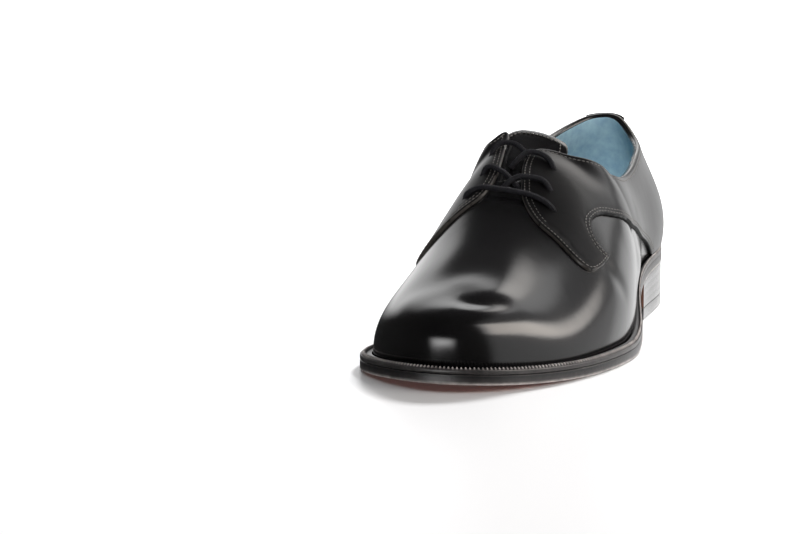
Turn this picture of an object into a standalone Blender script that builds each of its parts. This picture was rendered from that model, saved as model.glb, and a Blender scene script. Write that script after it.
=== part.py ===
"""Left dress shoe, open-laced: lasted leather upper on a welted leather sole with a stacked heel.

Sizes are in millimetres. A point on the shoe is given by x (outer side positive), the station
(distance from the back of the heel towards the toe) and z up from the floor.
"""
import bmesh
import bpy
import numpy as np
from mathutils import Matrix, Vector
from mathutils.geometry import delaunay_2d_cdt

MM = 0.001
COLLECTION = "dress_shoe"
CUTTERS = "dress_shoe_cutters"

LAST_LENGTH = 283.0
TOE_TIP_X = -3.2
GAP = 0.3
WALL = 2.0
OVERLAY = 1.2
STAY = 1.0
TONGUE = 1.6
INSOLE = 3.0
OUTSOLE = 4.6
WELT = 2.5
TOP_PIECE = 5.6
HEEL_BREAST = 84.0
LACE_RADIUS = 1.5
LACE_SIDES = 8
CELL_ALONG = 8.4
CELL_UP = 8.6
LOOP_STEPS = 46

# Feather line, where the upper turns under: station, outer half, inner half.
FEATHER = np.array([
    (8.0, 19.4, -18.6), (21.0, 28.4, -27.6), (42.0, 33.0, -31.6), (68.0, 34.2, -30.8),
    (97.0, 36.8, -27.6), (126.0, 43.0, -25.6), (154.5, 49.6, -28.6), (180.5, 52.0, -36.2),
    (201.5, 50.4, -43.0), (219.0, 46.8, -48.0), (236.0, 41.4, -49.2), (251.5, 34.2, -45.0),
    (265.0, 25.4, -34.8), (276.5, 14.2, -20.6)])

# Underside of the sole: station, height. The ball runs flat on the floor, the toe springs up.
SOLE_LINE = np.array([
    (-6.0, 22.2), (30.0, 21.3), (70.0, 19.6), (100.0, 15.0), (130.0, 8.2), (158.0, 2.6),
    (182.0, 0.0), (206.0, -0.3), (230.0, 0.0), (254.0, 0.8), (274.0, 2.1), (292.0, 3.8)])

# Sole edge beyond the feather line: share along the side, margin.
MARGIN = np.array([
    (0.0, 3.0), (0.12, 2.8), (0.25, 2.8), (0.4, 3.0), (0.5, 3.6), (0.62, 5.2), (0.75, 6.0),
    (0.9, 6.2), (1.0, 6.2)])

# Top of the last above collar and throat: share along, outer x, inner x, station, height.
TOP = np.array([
    (0.00, 0.0, 0.0, 8.5, 97.0), (0.07, 7.4, -8.5, 12.0, 96.0), (0.14, 15.2, -16.0, 24.0, 91.5),
    (0.22, 21.0, -20.5, 43.0, 86.5), (0.30, 23.0, -22.0, 65.0, 85.0),
    (0.38, 20.8, -22.0, 87.0, 88.5), (0.45, 13.0, -21.0, 106.0, 94.5),
    (0.51, 1.5, -19.5, 118.0, 98.0), (0.56, -11.5, -11.5, 128.0, 97.8),
    (0.62, -11.0, -11.0, 143.0, 91.6), (0.69, -8.3, -8.3, 166.0, 80.4),
    (0.77, -5.2, -5.2, 193.0, 66.0), (0.85, -3.4, -3.4, 218.5, 53.4),
    (0.92, -2.8, -2.8, 241.0, 44.4), (1.00, -3.2, -3.2, 259.0, 38.6)])

# Rib from feather line to top: share along, flare at the base, base pull, top pull, rise at the top.
RIB = np.array([
    (0.00, 15.0, 0.42, 0.36, 77.0), (0.12, 17.5, 0.42, 0.35, 83.0), (0.25, 11.8, 0.42, 0.35, 63.0),
    (0.38, 8.8, 0.42, 0.36, 55.0), (0.50, 6.0, 0.44, 0.37, 34.0), (0.60, 6.0, 0.44, 0.36, 10.0),
    (0.70, 6.0, 0.395, 0.28, 0.0), (0.80, 6.0, 0.38, 0.23, 0.0), (0.90, 8.0, 0.49, 0.47, 0.0),
    (1.00, 9.0, 0.56, 0.74, 0.0)])
CREST_FROM = 0.48
CREST_FULL = 0.57

# Collar: share along, share up the rib on the outer side, share up on the inner side.
COLLAR = np.array([
    (0.00, 0.917, 0.917), (0.05, 0.902, 0.912), (0.10, 0.868, 0.909), (0.15, 0.848, 0.914),
    (0.20, 0.850, 0.916), (0.25, 0.842, 0.904), (0.30, 0.798, 0.868), (0.36, 0.745, 0.812),
    (0.42, 0.696, 0.754), (0.46, 0.678, 0.728), (0.50, 0.673, 0.730), (0.53, 0.667, 0.748)])

# Top corner of the quarter, from collar to facing: share along and up, outer then inner side.
CORNER = np.array([
    (0.562, 0.723, 0.546, 0.800), (0.578, 0.785, 0.552, 0.868), (0.600, 0.850, 0.578, 0.918)])

# Facing, front edge and rounded tab, from the top corner down: share along and up, outer then inner side.
FACING = np.array([
    (0.624, 0.905, 0.622, 0.945), (0.646, 0.915, 0.646, 0.952), (0.672, 0.910, 0.672, 0.946),
    (0.697, 0.880, 0.692, 0.930), (0.716, 0.845, 0.707, 0.895), (0.729, 0.785, 0.718, 0.838),
    (0.736, 0.695, 0.718, 0.746), (0.731, 0.590, 0.716, 0.654), (0.724, 0.475, 0.716, 0.540),
    (0.714, 0.396, 0.712, 0.420), (0.704, 0.358, 0.703, 0.362), (0.691, 0.339, 0.691, 0.340),
    (0.674, 0.332, 0.674, 0.332), (0.657, 0.334, 0.657, 0.334), (0.642, 0.340, 0.642, 0.340)])
SLIT_LEAVES = 0.690
SLIT_END = np.array([(0.703, 0.950), (0.707, 1.0)])

# Back edge of the tab, the hook above it and the sweep down to the sole: share along, share up.
SWEEP = np.array([
    (0.642, 0.340), (0.655, 0.384), (0.658, 0.440), (0.650, 0.485), (0.634, 0.495), (0.612, 0.480),
    (0.582, 0.434), (0.548, 0.393), (0.499, 0.388), (0.419, 0.350), (0.324, 0.240), (0.273, 0.142),
    (0.240, 0.046)])
SEAT_EDGE = 0.046
BACK_SEAM = 0.0006

# Backstay up the heel: share up the rib, half width as a share along.
BACKSTAY = np.array([
    (0.046, 0.043), (0.20, 0.031), (0.40, 0.0225), (0.55, 0.022), (0.70, 0.028), (0.84, 0.046),
    (0.97, 0.092)])

# Tongue outline from the top edge round to its root: share along, share up.
TONGUE_EDGE = np.array([
    (0.558, 1.0), (0.546, 0.940), (0.540, 0.885), (0.535, 0.830), (0.545, 0.778), (0.590, 0.735),
    (0.650, 0.718), (0.710, 0.735), (0.744, 0.800), (0.754, 0.900), (0.757, 1.0)])

# Lace strands: share along (inner side negative), share up, height over the upper.
LACE_BAR = np.array([
    (-0.684, 0.714, 3.4), (-0.703, 0.839, 3.9), (-0.724, 0.925, 3.9), (0.731, 0.943, 3.9),
    (0.716, 0.836, 3.9), (0.694, 0.654, 3.4)])
LACE_CROSS_LOW = (
    np.array([(-0.661, 0.824, 3.4), (-0.668, 0.892, 3.9), (-0.684, 0.950, 3.9), (0.705, 0.940, 3.5)]),
    np.array([(0.671, 0.724, 3.4), (0.673, 0.800, 3.9), (0.690, 0.885, 3.9), (0.705, 0.940, 3.5),
              (0.718, 0.978, 2.4)]))
LACE_CROSS_HIGH = (
    np.array([(-0.613, 0.840, 3.4), (-0.613, 0.905, 3.9), (0.633, 0.985, 3.9), (0.636, 0.905, 3.5)]),
    np.array([(0.630, 0.759, 3.4), (0.624, 0.820, 3.9), (0.636, 0.905, 3.5), (0.664, 0.956, 2.2)]))

COLOURS = {
    "calf": (0.012, 0.012, 0.014), "lining": (0.16, 0.27, 0.34), "insole": (0.12, 0.035, 0.025),
    "edge": (0.02, 0.02, 0.022), "sole": (0.30, 0.13, 0.08), "stack": (0.10, 0.05, 0.03),
    "rubber": (0.015, 0.015, 0.015), "lace": (0.010, 0.010, 0.011)}


def spline(knots, values, closed=False):
    """Smooth curve through values at the knots, natural at both ends or closed into a loop."""
    k = np.asarray(knots, float)
    y = np.asarray(values, float)
    y = y.reshape(len(k), -1)
    n = len(k)
    h = np.diff(k)
    d = np.diff(y, axis=0) / h[:, None]
    m = n - 1 if closed else n
    lhs = np.zeros((m, m))
    rhs = np.zeros((m, y.shape[1]))
    for i in range(m):
        if not closed and i in (0, n - 1):
            lhs[i, i] = 1.0
            continue
        lhs[i, i - 1] += h[i - 1]
        lhs[i, i] += 2 * (h[i - 1] + h[i])
        lhs[i, (i + 1) % m] += h[i]
        rhs[i] = 6 * (d[i] - d[i - 1])
    c = np.linalg.solve(lhs, rhs)
    if closed:
        c = np.concatenate([c, c[:1]])

    def at(t):
        t = np.asarray(t, float)
        if closed:
            t = k[0] + np.mod(t - k[0], k[-1] - k[0])
        i = np.clip(np.searchsorted(k, t, side="right") - 1, 0, n - 2)
        step = h[i][..., None]
        a = (k[i + 1] - t)[..., None]
        b = (t - k[i])[..., None]
        bend = (c[i] * a ** 3 + c[i + 1] * b ** 3) / (6 * step)
        line = (y[i] / step - c[i] * step / 6) * a + (y[i + 1] / step - c[i + 1] * step / 6) * b
        return (bend + line)[..., 0] if y.shape[1] == 1 else bend + line

    return at


def mirrored(shares, outer, inner):
    """Closed curve over both sides: outer side for shares 0 to 1, inner side back from 1 to 2."""
    knots = np.concatenate([shares, 2 - shares[-2::-1]])
    return spline(knots, np.concatenate([outer, inner[-2::-1]]), closed=True)


def side_share(s):
    """Share along without its side."""
    m = np.mod(s, 2)
    return np.abs(np.where(m > 1, m - 2, m))


def feather_curve():
    outer = FEATHER[:, [1, 0]]
    inner = FEATHER[::-1, [2, 0]]
    tip = np.array([(TOE_TIP_X, LAST_LENGTH)])
    heel = np.zeros((1, 2))
    loop = np.concatenate([heel, outer, tip, inner, heel])
    chord = np.concatenate([[0.0], np.cumsum(np.linalg.norm(np.diff(loop, axis=0), axis=1))])
    return spline(chord, loop, closed=True), chord[len(outer) + 1], chord[-1]


FEATHER_AT, TIP_CHORD, LOOP_CHORD = feather_curve()
SOLE_AT = spline(SOLE_LINE[:, 0], SOLE_LINE[:, 1])
MARGIN_AT = spline(MARGIN[:, 0], MARGIN[:, 1])
TOP_X = mirrored(TOP[:, 0], TOP[:, 1], TOP[:, 2])
TOP_Y = mirrored(TOP[:, 0], TOP[:, 3], TOP[:, 3])
TOP_Z = mirrored(TOP[:, 0], TOP[:, 4], TOP[:, 4])
RIB_AT = mirrored(RIB[:, 0], RIB[:, 1:], RIB[:, 1:])


def outline(s):
    """Feather line in plan: x and station at a share along, inner side negative."""
    m = np.mod(s, 2)
    s = np.where(m > 1, m - 2, m)
    return FEATHER_AT(np.where(s >= 0, s * TIP_CHORD, LOOP_CHORD + s * (LOOP_CHORD - TIP_CHORD)))


def outward(s, step=2e-3):
    """Plan direction out of the feather line."""
    d = outline(s + step) - outline(s - step)
    n = np.stack([d[..., 1], -d[..., 0]], -1)
    return n / np.linalg.norm(n, axis=-1, keepdims=True)


def offset_outline(s, margin):
    return outline(s) + outward(s) * np.asarray(margin)[..., None]


def sole_margin(s):
    return MARGIN_AT(side_share(s))


def sole_bottom(station):
    return np.maximum(SOLE_AT(station), 0.0)


def sole_top(station):
    return sole_bottom(station) + OUTSOLE


def seat(station):
    """Height at which upper, welt and insole stand on the outsole."""
    return sole_top(station) + GAP


def last(s, v):
    """Point of the last at a share along the feather line and a share up the rib."""
    s, v = np.broadcast_arrays(np.asarray(s, float), np.asarray(v, float))
    m = np.mod(s, 2)
    plan = outline(s)
    base = np.concatenate([plan, seat(plan[..., 1])[..., None]], -1)
    top = np.stack([TOP_X(m), TOP_Y(m), TOP_Z(m)], -1)
    flare, base_pull, top_pull, rise = np.moveaxis(RIB_AT(m), -1, 0)
    flare = np.radians(flare)[..., None]
    up = np.concatenate([np.sin(flare) * outward(s), np.cos(flare)], -1)
    span = top - base
    inward = span[..., :2] / np.linalg.norm(span[..., :2], axis=-1, keepdims=True)
    share = side_share(s)
    before = np.clip(share - 1e-3, 0, 1)
    after = np.clip(share + 1e-3, 0, 1)
    slope = (TOP_Z(after) - TOP_Z(before)) / (TOP_Y(after) - TOP_Y(before))
    crest = np.clip((share - CREST_FROM) / (CREST_FULL - CREST_FROM), 0, 1)
    crest = crest * crest * (3 - 2 * crest)
    angle = (1 - crest) * np.radians(rise) + crest * np.arctan(slope * inward[..., 1])
    angle = angle[..., None]
    over = np.concatenate([np.cos(angle) * inward, np.sin(angle)], -1)
    reach = np.linalg.norm(span, axis=-1)[..., None]
    low = base + up * base_pull[..., None] * reach
    high = top - over * top_pull[..., None] * reach
    v = v[..., None]
    w = 1 - v
    return w ** 3 * base + 3 * w * w * v * low + 3 * w * v * v * high + v ** 3 * top


def last_normal(s, v, step=2e-3):
    """Outward direction of the last."""
    low = np.clip(v - step, 0, 1)
    high = np.clip(v + step, 0, 1)
    along = last(s + step, v) - last(s - step, v)
    rib = last(s, high) - last(s, low)
    n = np.cross(along, rib)
    return n / np.linalg.norm(n, axis=-1, keepdims=True)


# Plan of the upper: share along and share up, stretched to near millimetres.
PLAN = np.array([405.0, 86.0])


def resample(points, step):
    """Even points along a smooth line through the given ones."""
    flat = np.asarray(points) * PLAN
    chord = np.concatenate([[0.0], np.cumsum(np.linalg.norm(np.diff(flat, axis=0), axis=1))])
    fine = spline(chord, flat)(np.linspace(0, chord[-1], 600))
    run = np.concatenate([[0.0], np.cumsum(np.linalg.norm(np.diff(fine, axis=0), axis=1))])
    at = np.linspace(0, run[-1], max(2, int(round(run[-1] / step)) + 1))
    return np.stack([np.interp(at, run, fine[:, 0]), np.interp(at, run, fine[:, 1])], -1) / PLAN


def of_side(rows, side):
    """The outer or inner pair of columns of a table."""
    return rows[:, :2] if side > 0 else rows[:, 2:]


def collar_line(side):
    """Collar from the heel to the top corner of the quarter."""
    rim = COLLAR[:, [0, 1 if side > 0 else 2]]
    return resample(np.concatenate([rim, of_side(CORNER, side), of_side(FACING, side)[:1]]), 7.0)


def on_side(line, side):
    return line * np.array([side, 1.0])


def facing_line(side):
    return resample(of_side(FACING, side), 6.0)


def slit_line(side):
    """Edge of the throat in the upper: down the facing, then over to the crest."""
    facing = facing_line(side)
    kept = facing[(np.arange(len(facing)) < np.argmax(facing[:, 0] > SLIT_LEAVES))]
    return np.concatenate([kept, SLIT_END])


def quarter_line(side):
    """Closed outline of a quarter, from the back seam along the sole and round over the collar."""
    hem = np.stack([np.linspace(BACK_SEAM, SWEEP[-1, 0], 13), np.full(13, SEAT_EDGE)], -1)
    collar = collar_line(side)
    collar[0, 0] = BACK_SEAM
    parts = [hem[:-1], resample(SWEEP, 5.5)[::-1][:-1], facing_line(side)[::-1][:-1], collar[::-1]]
    return on_side(np.concatenate(parts), side)


def upper_line():
    """Closed outline of the upper over both sides."""
    loop = [np.array([(-1.0, 0.0), (1.0, 0.0), (1.0, 1.0)])]
    loop.append(slit_line(1)[::-1])
    loop.append(collar_line(1)[::-1][1:])
    loop.append(on_side(collar_line(-1)[1:], -1))
    loop.append(on_side(slit_line(-1)[1:], -1))
    loop.append(np.array([(-1.0, 1.0)]))
    return np.concatenate(loop)


def backstay_edge(side):
    return on_side(resample(BACKSTAY[:, ::-1], 7.0), side)


def backstay_line():
    """Closed outline of the backstay below the collar."""
    over = np.array([(0.2, 1.0), (-0.2, 1.0)])
    return np.concatenate([backstay_edge(1), over, backstay_edge(-1)[::-1]])


def tongue_line(side):
    edge = resample(TONGUE_EDGE, 6.5)
    edge[0, 1] = 1.0
    edge[-1, 1] = 1.0
    return on_side(edge, side)


def inside(points, loop):
    """Which points lie within a closed outline."""
    x, y = points[:, 0], points[:, 1]
    hit = np.zeros(len(points), bool)
    for (xa, ya), (xb, yb) in zip(loop, np.roll(loop, -1, axis=0)):
        if ya == yb:
            continue
        cross = (xb - xa) * (y - ya) / (yb - ya) + xa
        hit ^= ((ya > y) != (yb > y)) & (x < cross)
    return hit


def seam_lines():
    """Every edge that the sheets of the upper are cut along."""
    hem = np.stack([np.linspace(-SWEEP[-1, 0], SWEEP[-1, 0], 25), np.full(25, SEAT_EDGE)], -1)
    lines = [hem]
    for side in (1, -1):
        lines.append(on_side(collar_line(side), side))
        lines.append(on_side(slit_line(side), side))
        lines.append(on_side(facing_line(side), side))
        lines.append(on_side(resample(SWEEP, 5.5), side))
        lines.append(tongue_line(side))
        lines.append(backstay_edge(side))
        seam = np.array([(BACK_SEAM, SEAT_EDGE), (BACK_SEAM, COLLAR[0, 1] + 0.03)])
        lines.append(on_side(seam, side))
    return lines


def sheet_plan():
    """Points and triangles of the upper's plan, cut along every seam."""
    lines = seam_lines()
    half = int(round(PLAN[0] / CELL_ALONG))
    rows = int(round(PLAN[1] / CELL_UP))
    along = np.linspace(-1, 1, 2 * half + 1)
    up = np.linspace(0, 1, rows + 1)
    grid = np.stack(np.meshgrid(along, up, indexing="ij"), -1).reshape(-1, 2)
    keep = np.ones(len(grid), bool)
    for line in lines:
        flat = line * PLAN
        for a, b in zip(flat[:-1], flat[1:]):
            d = b - a
            t = np.clip(((grid * PLAN - a) @ d) / (d @ d), 0, 1)
            near = np.linalg.norm(grid * PLAN - (a + t[:, None] * d), axis=1)
            keep &= near > 3.4
    frame = (np.abs(grid[:, 0]) == 1) | (grid[:, 1] == 0)
    points = [tuple(p) for p in grid[keep | frame] * PLAN]
    edges = []
    for line in lines:
        first = len(points)
        points += [tuple(p) for p in line * PLAN]
        edges += [(i, i + 1) for i in range(first, len(points) - 1)]
    out = delaunay_2d_cdt([Vector(p) for p in points], edges, [], 0, 1e-3)
    plan = np.array([tuple(p) for p in out[0]]) / PLAN
    return plan, np.array([f for f in out[2] if len(f) == 3])


def sheet_points(plan):
    """Last points, their directions and one index for points that meet on crest and toe."""
    s = np.clip(plan[:, 0], -1, 1)
    v = np.clip(plan[:, 1], 0, 1)
    s = np.where(np.abs(s) > 1 - 1e-6, np.sign(s), s)
    v = np.where(v > 1 - 1e-6, 1.0, v)
    place = last(s, v)
    facing = last_normal(s, v)
    meets = {}
    index = np.zeros(len(plan), int)
    for i in range(len(plan)):
        joins = abs(s[i]) == 1 or v[i] == 1
        spot = (round(abs(s[i]), 4), round(v[i], 4))
        index[i] = meets.setdefault(spot, i) if joins else i
    total = np.zeros_like(facing)
    np.add.at(total, index, facing)
    total = total[index]
    return place, total / np.linalg.norm(total, axis=1, keepdims=True), index


def to_shoe(points):
    """Toe along -Y, outer side along +X, in metres."""
    p = np.asarray(points, float)
    return np.stack([p[:, 0], -p[:, 1], p[:, 2]], -1) * MM


def material(name, colour, roughness):
    mat = bpy.data.materials.new(name)
    mat.use_nodes = True
    shader = mat.node_tree.nodes["Principled BSDF"]
    shader.inputs["Base Color"].default_value = (*colour, 1.0)
    shader.inputs["Roughness"].default_value = roughness
    return mat


def add_object(name, points, faces, look, collection, roughness=0.4):
    mesh = bpy.data.meshes.new(name)
    mesh.from_pydata([tuple(p) for p in to_shoe(points)], [], faces)
    bm = bmesh.new()
    bm.from_mesh(mesh)
    bmesh.ops.triangulate(bm, faces=bm.faces[:])
    bmesh.ops.recalc_face_normals(bm, faces=bm.faces[:])
    bm.to_mesh(mesh)
    bm.free()
    mesh.materials.append(material(name, COLOURS[look], roughness))
    obj = bpy.data.objects.new(name, mesh)
    collection.objects.link(obj)
    return obj


def add_sheet(name, plan, tris, mask, low, high, look, collection):
    """Closed solid between two heights over the last, on the chosen triangles of the plan."""
    place, facing, index = sheet_points(plan)
    tris = index[tris[mask]]
    used = np.unique(tris)
    slot = {v: i for i, v in enumerate(used)}
    count = len(used)
    points = np.concatenate([place[used] + facing[used] * low, place[used] + facing[used] * high])
    faces = []
    rim = {}
    for a, b, c in ((slot[i], slot[j], slot[k]) for i, j, k in tris):
        faces.append((a, b, c))
        faces.append((a + count, c + count, b + count))
        for edge in ((a, b), (b, c), (c, a)):
            if edge[::-1] in rim:
                del rim[edge[::-1]]
            else:
                rim[edge] = True
    faces += [(b, a, a + count, b + count) for a, b in rim]
    return add_object(name, points, faces, look, collection)


def plate_rows(margin, stop=None):
    """Rows across a plan outline: station, outer x, inner x. The ends close to one point."""
    fine = np.linspace(0, 2, 4001)[:-1]
    loop = offset_outline(fine, margin(fine))
    loop = np.roll(loop, -np.argmin(loop[:, 1]), axis=0)
    tip = np.argmax(loop[:, 1])
    outer = loop[:tip + 1]
    inner = np.concatenate([loop[:1], loop[tip:][::-1]])
    station = outer[np.linspace(0, tip, LOOP_STEPS + 1).astype(int), 1]
    if stop is not None:
        station = np.concatenate([station[station < stop - 2.0], [stop]])
    outer_x = np.interp(station, outer[:, 1], outer[:, 0])
    inner_x = np.interp(station, inner[:, 1], inner[:, 0])
    return np.stack([station, outer_x, inner_x], -1)


def add_plate(name, rows, low, high, look, collection, open_end=False):
    """Closed solid across a plan outline between two heights that follow the station."""
    points = []
    for station, outer_x, inner_x in rows:
        for height in (low(station), high(station)):
            points += [(outer_x, station, height), (inner_x, station, height)]
    faces = []
    for i in range(len(rows) - 1):
        a, b = 4 * i, 4 * (i + 1)
        faces += [(a, b, b + 1, a + 1), (a + 2, a + 3, b + 3, b + 2)]
        faces += [(a, a + 2, b + 2, b), (a + 1, b + 1, b + 3, a + 3)]
    if open_end:
        end = 4 * (len(rows) - 1)
        faces.append((end, end + 2, end + 3, end + 1))
    mesh = bpy.data.meshes.new(name)
    mesh.from_pydata([tuple(p) for p in to_shoe(np.array(points))], [], faces)
    bm = bmesh.new()
    bm.from_mesh(mesh)
    bmesh.ops.remove_doubles(bm, verts=bm.verts[:], dist=0.00005)
    bmesh.ops.triangulate(bm, faces=bm.faces[:])
    bmesh.ops.recalc_face_normals(bm, faces=bm.faces[:])
    bm.to_mesh(mesh)
    bm.free()
    mesh.materials.append(material(name, COLOURS[look], 0.5))
    obj = bpy.data.objects.new(name, mesh)
    collection.objects.link(obj)
    return obj


def welt_inner(s):
    """Clearance of the welt from the feather line, past the flare of the upper."""
    flare = np.radians(RIB_AT(np.mod(s, 2))[..., 0])
    return np.tan(flare) * (WELT + GAP) + 2 * GAP


def add_welt(collection):
    s = np.linspace(-1, 1, 2 * LOOP_STEPS + 1)[:-1]
    rings = []
    for margin in (sole_margin(s), welt_inner(s)):
        plan = offset_outline(s, margin)
        for lift in (0.0, WELT):
            rings.append(np.concatenate([plan, (seat(plan[:, 1]) + lift)[:, None]], -1))
    points = np.concatenate(rings)
    n = len(s)
    faces = []
    for i in range(n):
        j = (i + 1) % n
        for a, b in ((0, 1), (1, 3), (3, 2), (2, 0)):
            faces.append((a * n + i, a * n + j, b * n + j, b * n + i))
    return add_object("welt", points, faces, "edge", collection)


def strand(path):
    """Round cord along a path over the upper."""
    rows = np.asarray(path)
    place = last(rows[:, 0], rows[:, 1]) + last_normal(rows[:, 0], rows[:, 1]) * rows[:, 2:]
    chord = np.concatenate([[0.0], np.cumsum(np.linalg.norm(np.diff(place, axis=0), axis=1))])
    curve = spline(chord, place)
    t = np.linspace(0, chord[-1], max(5, int(chord[-1] / 4.0)))
    line = curve(t)
    ahead = np.gradient(line, axis=0)
    ahead /= np.linalg.norm(ahead, axis=1, keepdims=True)
    across = np.cross(ahead, np.array([0.0, 0.0, 1.0]))
    across /= np.linalg.norm(across, axis=1, keepdims=True)
    above = np.cross(across, ahead)
    turn = np.linspace(0, 2 * np.pi, LACE_SIDES, endpoint=False) + np.pi / LACE_SIDES
    points = []
    for p, a, b in zip(line, across, above):
        points += [p + LACE_RADIUS * (np.cos(w) * a + np.sin(w) * b) for w in turn]
    faces = []
    for i in range(len(line) - 1):
        for j in range(LACE_SIDES):
            k = (j + 1) % LACE_SIDES
            a, b = i * LACE_SIDES, (i + 1) * LACE_SIDES
            faces.append((a + j, a + k, b + k, b + j))
    faces.append(tuple(range(LACE_SIDES))[::-1])
    last_ring = (len(line) - 1) * LACE_SIDES
    faces.append(tuple(range(last_ring, last_ring + LACE_SIDES)))
    return np.array(points), faces


def add_crossing(name, strands, collection, cutters):
    """Two strands of the lace joined where they cross."""
    lower = add_object(name, *strand(strands[0]), "lace", collection)
    upper = add_object(name + "_over", *strand(strands[1]), "lace", cutters)
    upper.hide_render = True
    upper.display_type = "WIRE"
    joined = lower.modifiers.new("joined", "BOOLEAN")
    joined.operation = "UNION"
    joined.solver = "EXACT"
    joined.object = upper
    return lower


def build():
    for obj in list(bpy.data.objects):
        bpy.data.objects.remove(obj, do_unlink=True)
    parts = bpy.data.collections.new(COLLECTION)
    cutters = bpy.data.collections.new(CUTTERS)
    bpy.context.scene.collection.children.link(parts)
    bpy.context.scene.collection.children.link(cutters)

    plan, tris = sheet_plan()
    middle = plan[tris].mean(axis=1)
    lasted = inside(middle, upper_line())
    outer = inside(middle, quarter_line(1))
    inner = inside(middle, quarter_line(-1))
    stay = inside(middle, backstay_line()) & lasted
    tongue = inside(middle, tongue_line(1)) | inside(middle, tongue_line(-1))
    lift = GAP + OVERLAY
    under = -WALL - GAP
    add_sheet("upper", plan, tris, lasted, -WALL, 0.0, "calf", parts)
    add_sheet("quarter_outer", plan, tris, outer, GAP, lift, "calf", parts)
    add_sheet("quarter_inner", plan, tris, inner, GAP, lift, "calf", parts)
    add_sheet("backstay", plan, tris, stay, lift + GAP, lift + GAP + STAY, "calf", parts)
    add_sheet("tongue", plan, tris, tongue, under - TONGUE, under, "calf", parts)

    add_plate("outsole", plate_rows(sole_margin), sole_bottom, sole_top, "sole", parts)
    add_welt(parts)
    add_plate("insole", plate_rows(insole_margin), seat, insole_top, "insole", parts)
    heel_rows = plate_rows(heel_margin, HEEL_BREAST)
    add_plate("heel", heel_rows, heel_low, heel_high, "stack", parts, open_end=True)
    add_plate("heel_top_piece", heel_rows, floor, top_piece_high, "rubber", parts, open_end=True)

    add_object("lace_bar", *strand(LACE_BAR), "lace", parts)
    add_crossing("lace_cross_low", LACE_CROSS_LOW, parts, cutters)
    add_crossing("lace_cross_high", LACE_CROSS_HIGH, parts, cutters)
    settle(parts, cutters)


def settle(parts, cutters):
    """Bring the middle of the shoe's plan box over the origin."""
    corners = np.array([v.co for obj in parts.objects for v in obj.data.vertices])
    middle = (corners.min(axis=0) + corners.max(axis=0)) / 2
    shift = Matrix.Translation((-middle[0], -middle[1], 0.0))
    for obj in list(parts.objects) + list(cutters.objects):
        obj.data.transform(shift)


def insole_margin(s):
    return np.full_like(s, -WALL - 2 * GAP)


def insole_top(station):
    return seat(station) + INSOLE


def heel_margin(s):
    return sole_margin(s) - GAP


def floor(station):
    return 0.0


def top_piece_high(station):
    return TOP_PIECE


def heel_low(station):
    return TOP_PIECE + GAP


def heel_high(station):
    return sole_bottom(station) - GAP


build()
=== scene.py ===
"""Looks of the left dress shoe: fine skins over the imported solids, stitching, lace, sole edge and studio.

Shape sizes are in millimetres: x (outer side positive), station from the heel back to the toe, z up.
"""

import bmesh
import bpy
import numpy as np
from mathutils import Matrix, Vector, kdtree
from mathutils.geometry import delaunay_2d_cdt


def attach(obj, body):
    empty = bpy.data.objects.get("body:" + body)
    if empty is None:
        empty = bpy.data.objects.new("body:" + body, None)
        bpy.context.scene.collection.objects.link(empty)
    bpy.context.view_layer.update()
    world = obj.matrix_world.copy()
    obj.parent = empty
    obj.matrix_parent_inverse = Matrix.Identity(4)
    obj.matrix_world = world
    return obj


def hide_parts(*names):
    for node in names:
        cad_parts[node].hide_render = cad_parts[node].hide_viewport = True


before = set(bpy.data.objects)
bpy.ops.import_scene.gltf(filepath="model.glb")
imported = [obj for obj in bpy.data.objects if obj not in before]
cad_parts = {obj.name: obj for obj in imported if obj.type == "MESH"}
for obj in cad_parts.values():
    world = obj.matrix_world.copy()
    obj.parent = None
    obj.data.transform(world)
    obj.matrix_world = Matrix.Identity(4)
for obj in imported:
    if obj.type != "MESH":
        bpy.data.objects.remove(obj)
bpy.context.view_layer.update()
MM = 0.001
# Place of the frame's origin on the last: x, station.
ORIGIN = np.array([0.93994, 142.43476])
SIDES = (1, -1)

LAST_LENGTH = 283.0
TOE_TIP_X = -3.2
GAP = 0.3
WALL = 2.0
OUTSOLE = 4.6
WELT = 2.5
INSOLE = 3.0
TOP_PIECE = 5.6
HEEL_BREAST = 84.0

# Feather line, where the upper turns under: station, outer half, inner half.
FEATHER = np.array([
    (8.0, 19.4, -18.6), (21.0, 28.4, -27.6), (42.0, 33.0, -31.6), (68.0, 34.2, -30.8),
    (97.0, 36.8, -27.6), (126.0, 43.0, -25.6), (154.5, 49.6, -28.6), (180.5, 52.0, -36.2),
    (201.5, 50.4, -43.0), (219.0, 46.8, -48.0), (236.0, 41.4, -49.2), (251.5, 34.2, -45.0),
    (265.0, 25.4, -34.8), (276.5, 14.2, -20.6)])

# Underside of the sole, flat under the ball: station, height.
SOLE_LINE = np.array([
    (-6.0, 22.2), (30.0, 21.3), (70.0, 19.6), (100.0, 15.0), (130.0, 8.2), (158.0, 2.6),
    (182.0, 0.0), (206.0, -0.3), (230.0, 0.0), (254.0, 0.8), (274.0, 2.1), (292.0, 3.8)])

# Sole edge beyond the feather line: share along the side, margin.
MARGIN = np.array([
    (0.0, 3.0), (0.12, 2.8), (0.25, 2.8), (0.4, 3.0), (0.5, 3.6), (0.62, 5.2), (0.75, 6.0),
    (0.9, 6.2), (1.0, 6.2)])

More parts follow.
